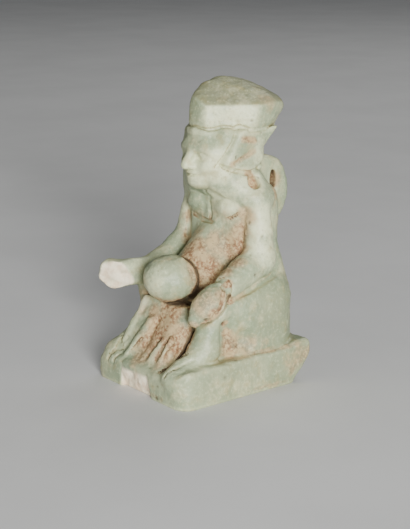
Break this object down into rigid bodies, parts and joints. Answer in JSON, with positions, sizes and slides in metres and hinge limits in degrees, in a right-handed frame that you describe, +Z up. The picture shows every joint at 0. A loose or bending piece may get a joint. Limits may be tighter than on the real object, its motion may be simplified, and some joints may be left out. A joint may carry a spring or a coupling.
{
  "type": "deity amulet",
  "caption": "Small moulded faience amulet of a squatting deity in a flat cap on a low base, with a suspension loop at the nape and a broken forearm.",
  "frame": {"origin": "centre of the base slab's flat underside, between its sides and between its front and back", "axes": "+Z up, the height of the figure; the figure faces -Y and its own left side is +X"},
  "size_m": [0.0189, 0.0231, 0.0372],
  "materials": {
    "faience": "satin"
  },
  "bodies": {
    "root": {"amulet": "faience"}
  },
  "joints": []
}
